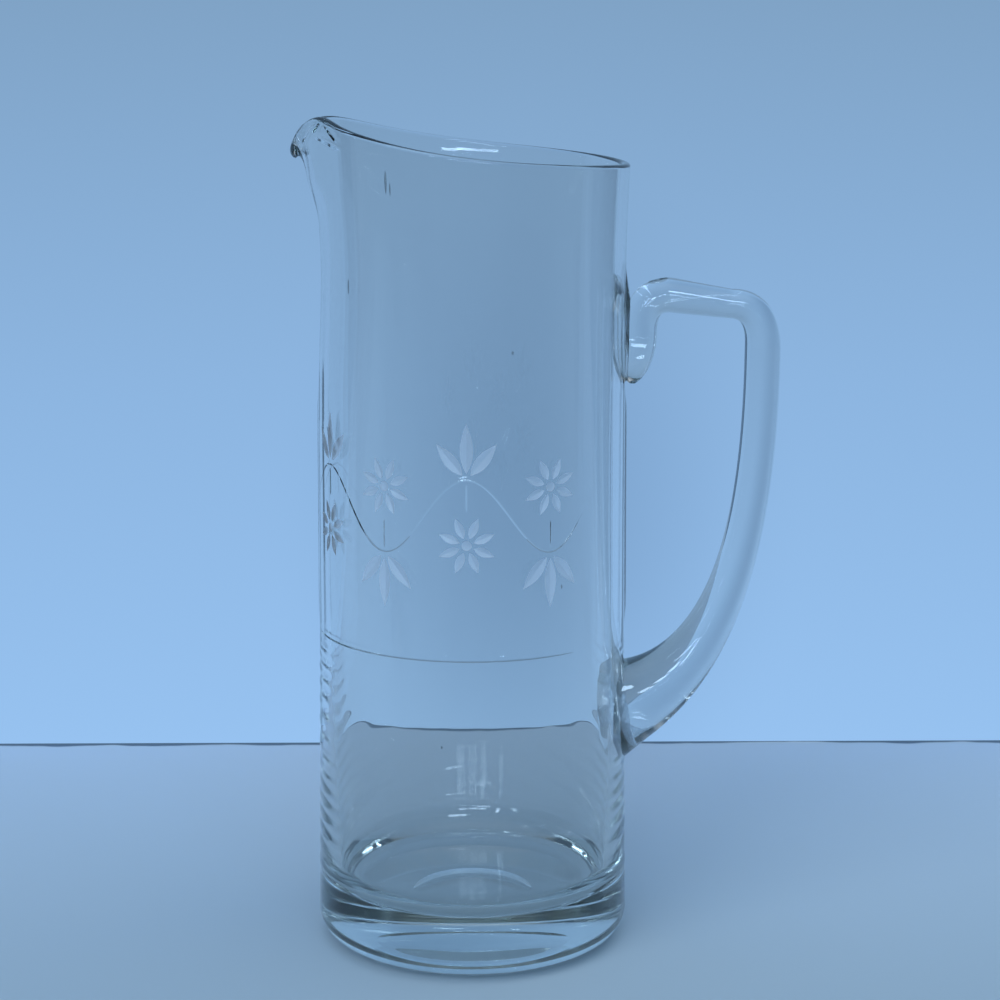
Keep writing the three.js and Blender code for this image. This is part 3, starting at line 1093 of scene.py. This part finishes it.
def matt_floor():
    """Matt and pale, darker towards the viewer as painted shade, with a ragged line of painted shade at the
    wall.
    """
    material, tree, output = new_material("pale_floor")
    place = add_node(tree, "ShaderNodeTexCoord")
    split = add_node(tree, "ShaderNodeSeparateXYZ", links={0: place.outputs["Object"]})
    wave = add_node(tree, "ShaderNodeTexNoise", {"Scale": 1 / GAP_SHADE_PITCH}, {0: place.outputs["Object"]})
    edge = {0: wave.outputs["Fac"], 2: split.outputs["Y"]}
    ragged = add_node(tree, "ShaderNodeMath", {1: GAP_SHADE_WAVE}, edge, operation="MULTIPLY_ADD").outputs[0]
    start = WALL_BEHIND + GAP_SHADE_START * GAP_SHADE_WAVE
    # Painted shade in the gap at the foot of the wall, darkest at the wall.
    gap_shade = fade_between(tree, ragged, start, start + GAP_SHADE_WIDTH, ("#ffffff", "#8e9aa6"))
    tones = []
    for codes in (FLOOR_PAINT, FLOOR_OWN):
        plain = fade_between(tree, split.outputs["Y"], WALL_BEHIND - FLOOR_FADE, WALL_BEHIND, codes)
        # The colours of a Mix node are its inputs 6 and 7, after those for numbers and vectors.
        both = {6: plain, 7: gap_shade}
        toned = add_node(tree, "ShaderNodeMix", {0: 1}, both, data_type="RGBA", blend_type="MULTIPLY")
        tones.append(toned.outputs[2])
    paint = add_node(tree, "ShaderNodeBsdfDiffuse", links={"Color": tones[0]})
    glow = add_node(tree, "ShaderNodeEmission", {"Strength": FLOOR_GLOW}, {"Color": tones[1]})
    ray = add_node(tree, "ShaderNodeLightPath").outputs
    seen = {0: ray["Is Camera Ray"]}
    direct = add_node(tree, "ShaderNodeMath", {1: CAMERA_SHARE}, seen, operation="MULTIPLY").outputs[0]
    sent = {0: ray["Is Transmission Ray"], 2: direct}
    part = add_node(tree, "ShaderNodeMath", {1: FLOOR_SHARE}, sent, operation="MULTIPLY_ADD").outputs[0]
    mixed = {0: part, 1: paint.outputs[0], 2: glow.outputs[0]}
    surface = add_node(tree, "ShaderNodeMixShader", links=mixed)
    tree.links.new(surface.outputs[0], output.inputs["Surface"])
    return material


# %% Lay the floor
FLOOR_SIZE = 6
FLOOR_GAP = 0.2 * MM

bpy.ops.object.select_all(action="DESELECT")
bpy.ops.mesh.primitive_plane_add(size=FLOOR_SIZE, location=(0, 0, -FLOOR_GAP))
floor = bpy.context.object
floor.name = "floor"
floor.data.materials.append(matt_floor())
print("Floor", FLOOR_SIZE, "m wide")

# %% Paint of the wall
# The wall is clear from behind, so that other views can look past it.
WALL_FADE = 285 * MM
WALL_PAINT = ("#97c2f0", "#8db5e0", "#80a3c6")
SHADE_MIDDLE = (25 * MM, WALL_BEHIND, 85 * MM)
SHADE_HALF = (105 * MM, 105 * MM, 160 * MM)


def fading_wall():
    """Paint that is palest at the floor, with one soft shade behind the pitcher."""
    material, tree, output = new_material("pale_wall")
    place = add_node(tree, "ShaderNodeTexCoord").outputs["Object"]
    split = add_node(tree, "ShaderNodeSeparateXYZ", links={0: place})
    plain = fade_between(tree, split.outputs["Z"], 0, WALL_FADE, WALL_PAINT)
    oval = {"Location": SHADE_MIDDLE, "Scale": SHADE_HALF}
    centred = add_node(tree, "ShaderNodeMapping", oval, {0: place}, vector_type="TEXTURE").outputs[0]
    sphere = add_node(tree, "ShaderNodeTexGradient", links={0: centred}, gradient_type="SPHERICAL")
    shade = fade_between(tree, sphere.outputs["Fac"], 0, 1, ("#ffffff", "#dee1e4"), "SMOOTHSTEP")
    both = {6: plain, 7: shade}
    toned = add_node(tree, "ShaderNodeMix", {0: 1}, both, data_type="RGBA", blend_type="MULTIPLY")
    colour = toned.outputs[2]
    paint = add_node(tree, "ShaderNodeBsdfDiffuse", links={"Color": colour})
    glow = add_node(tree, "ShaderNodeEmission", links={"Color": colour})
    ray = add_node(tree, "ShaderNodeLightPath").outputs
    looks = ray["Is Camera Ray"]
    for kind in ("Is Glossy Ray", "Is Transmission Ray"):
        both = {0: looks, 1: ray[kind]}
        looks = add_node(tree, "ShaderNodeMath", links=both, operation="MAXIMUM").outputs[0]
    mixed = {0: looks, 1: paint.outputs[0], 2: glow.outputs[0]}
    front = add_node(tree, "ShaderNodeMixShader", links=mixed)
    clear = add_node(tree, "ShaderNodeBsdfTransparent")
    side = add_node(tree, "ShaderNodeNewGeometry")
    sides = {0: side.outputs["Backfacing"], 1: front.outputs[0], 2: clear.outputs["BSDF"]}
    surface = add_node(tree, "ShaderNodeMixShader", links=sides)
    tree.links.new(surface.outputs["Shader"], output.inputs["Surface"])
    return material


# %% Stand the wall
WALL_HEIGHT = 1.2
WALL_LEFT = -0.6
WALL_RIGHT = 0.285
WALL_GAP = 0.7 * MM

bpy.ops.object.select_all(action="DESELECT")
wall_place = ((WALL_LEFT + WALL_RIGHT) / 2, WALL_BEHIND, WALL_HEIGHT / 2 + WALL_GAP - FLOOR_GAP)
bpy.ops.mesh.primitive_plane_add(size=1, location=wall_place, rotation=(math.pi / 2, 0, 0))
wall = bpy.context.object
wall.name = "wall"
wall.scale = (WALL_RIGHT - WALL_LEFT, WALL_HEIGHT, 1)
bpy.ops.object.transform_apply(location=True, rotation=True, scale=True)
wall.data.materials.append(fading_wall())
print("Wall", round(WALL_RIGHT - WALL_LEFT, 3), "m wide")

# %% [markdown]
# ## Light
# Two large soft lamps light the floor. They would mirror in the glass as big white blobs, so they are
# hidden from its reflections. What the glass does mirror is a window behind the camera, seen as a few
# narrow bright bars and panes with the cool tint of the sky, and a dim room. A picture of a room could
# wrap round the scene instead, but a few lamps are easier to move until each light sits where it should.

# %% Soft lamps
# Light crosses many skins of glass before it gets out, so it may bounce more often than usual.
GLASS_BOUNCES = 40
CLEAR_BOUNCES = 16
# Each soft lamp has its place, the point it looks at, the length of its sides and its power in watts.
SOFT_LAMPS = {
    "soft_left": ((-0.75, -1.5, 1.6), (0, 0, 0.05), 1.6, 40),
    "soft_top": ((0.4, -0.1, 2.0), (0, 0, 0), 1.8, 31),
}

scene = bpy.context.scene
scene.view_settings.view_transform = "Standard"
scene.cycles.max_bounces = GLASS_BOUNCES
scene.cycles.transmission_bounces = GLASS_BOUNCES
scene.cycles.glossy_bounces = GLASS_BOUNCES
scene.cycles.transparent_max_bounces = CLEAR_BOUNCES


def area_lamp(name, place, target, width, height, power, mirrored):
    """A rectangular lamp that looks at a point, and shows in the glass only where it is mirrored."""
    bpy.ops.object.light_add(type="AREA", location=place)
    lamp = bpy.context.object
    lamp.name = name
    lamp.data.shape = "RECTANGLE"
    lamp.data.size = width
    lamp.data.size_y = height
    lamp.data.energy = power
    lamp.rotation_euler = (Vector(target) - Vector(place)).to_track_quat("-Z", "Y").to_euler()
    lamp.visible_glossy = lamp.visible_transmission = mirrored
    return lamp


for name, (place, target, side, power) in SOFT_LAMPS.items():
    area_lamp(name, place, target, side, side, power, False)
print("Soft lamps:", len(SOFT_LAMPS))

# %% The window behind the camera
# Each piece of the window has its bearing from straight behind the camera, its elevation, its width and its
# height, all in degrees as seen from the pitcher, and all hang at the same distance.
WINDOW_DISTANCE = 2.4
WINDOW_RADIANCE = 14
WINDOW_TINT = "#c2e2ff"
WINDOW_CENTRE = Vector((0, 0, 0.236))
WINDOW_PIECES = {
    "bar_high": (4, 2.45, 18, 0.2),
    "bar_middle": (1.5, 1.55, 45, 0.2),
    "pane_right": (17, 40, 16, 9),
    "pane_left": (-25, 20, 3, 16),
    "pane_middle": (-10, 7, 14, 2.5),
    "window_left": (-9, 16, 6, 6),
    "window_middle": (0, 16, 6, 6),
    "window_right": (9, 16, 6, 6),
}
for name, (bearing, elevation, wide, high) in WINDOW_PIECES.items():
    a, e = math.radians(bearing), math.radians(elevation)
    way = Vector((math.cos(e) * math.sin(a), -math.cos(e) * math.cos(a), math.sin(e)))
    width = 2 * WINDOW_DISTANCE * math.tan(math.radians(wide) / 2)
    height = 2 * WINDOW_DISTANCE * math.tan(math.radians(high) / 2)
    power = WINDOW_RADIANCE * math.pi * width * height
    place = WINDOW_CENTRE + way * WINDOW_DISTANCE
    lamp = area_lamp(name, place, WINDOW_CENTRE, width, height, power, True)
    lamp.data.color = srgb(WINDOW_TINT)[:3]
print("Pieces of the window:", len(WINDOW_PIECES))

# %% The dim room
# The room's tone follows the height of the view: the ground, the dark walls, and the pale ceiling.
ROOM_BANDS = ((0, "#4c687d"), (0.3, "#203648"), (0.75, "#203648"), (1, "#c4d2e0"))
world = bpy.data.worlds.new("room")
scene.world = world
world.use_nodes = True
room = world.node_tree
view = add_node(room, "ShaderNodeTexCoord")
split = add_node(room, "ShaderNodeSeparateXYZ", links={0: view.outputs["Generated"]})
shade = add_node(room, "ShaderNodeValToRGB", links={0: split.outputs["Z"]})
bands = shade.color_ramp.elements
for height, _ in ROOM_BANDS[1:-1]:
    bands.new(height)
for band, (_, code) in zip(bands, ROOM_BANDS):
    band.color = srgb(code)
background = room.nodes["Background"]
room.links.new(shade.outputs["Color"], background.inputs["Color"])
background.inputs["Strength"].default_value = 1.0
print("Bands of the room:", len(bands))

# %% [markdown]
# ## Hand over
# Both pieces ride on the one body of the part, and each takes the place of its CAD solid.

# %% Ride, replace and finish
for piece, node in ((body, "pitcher_body"), (handle, "handle")):
    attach(piece, "root")
    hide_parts(node)
